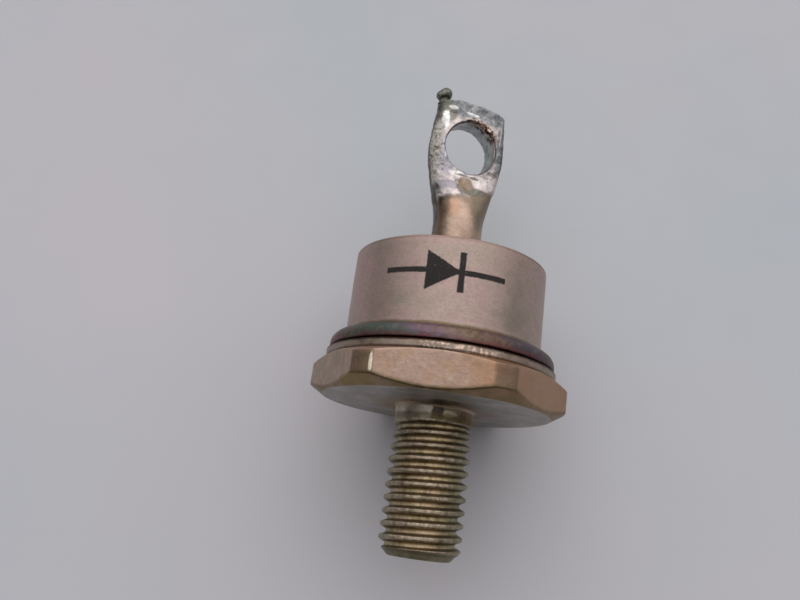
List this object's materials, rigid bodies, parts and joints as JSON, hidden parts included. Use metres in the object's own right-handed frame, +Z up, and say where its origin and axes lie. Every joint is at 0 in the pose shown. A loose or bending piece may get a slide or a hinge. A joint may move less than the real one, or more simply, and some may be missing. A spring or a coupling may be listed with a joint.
{
  "type": "rectifier diode",
  "caption": "Stud-mounted rectifier diode: hexagonal base with a threaded stud, welded metal can, glass seal and a tubular terminal pressed into a pierced eye.",
  "frame": {"origin": "centre of the hexagon's seating face, on the axis of the stud", "axes": "+Y along the axis towards the terminal, +Z up, square to the hexagon's upper flat, with the opposite flat on the ground"},
  "size_m": [0.0192, 0.0369, 0.0174],
  "materials": {
    "plated_base": "satin",
    "weld_steel": "satin",
    "can_metal": "satin",
    "seal_glass": "gloss",
    "tinned_terminal": "satin",
    "solder": "satin",
    "molybdenum": "satin",
    "silicon": "gloss",
    "silicone_rubber": "matt",
    "lead_copper": "satin"
  },
  "bodies": {
    "root": {"stud_base": "plated_base", "weld_ring": "weld_steel", "can": "can_metal", "glass_seal": "seal_glass", "terminal": "tinned_terminal", "solder_bead": "solder", "base_solder": "solder", "lower_disc": "molybdenum", "lower_chip_solder": "solder", "silicon_chip": "silicon", "upper_chip_solder": "solder", "upper_disc": "molybdenum", "chip_coating": "silicone_rubber", "lead_solder": "solder", "lead_foot": "lead_copper", "inner_lead": "lead_copper"}
  },
  "joints": []
}
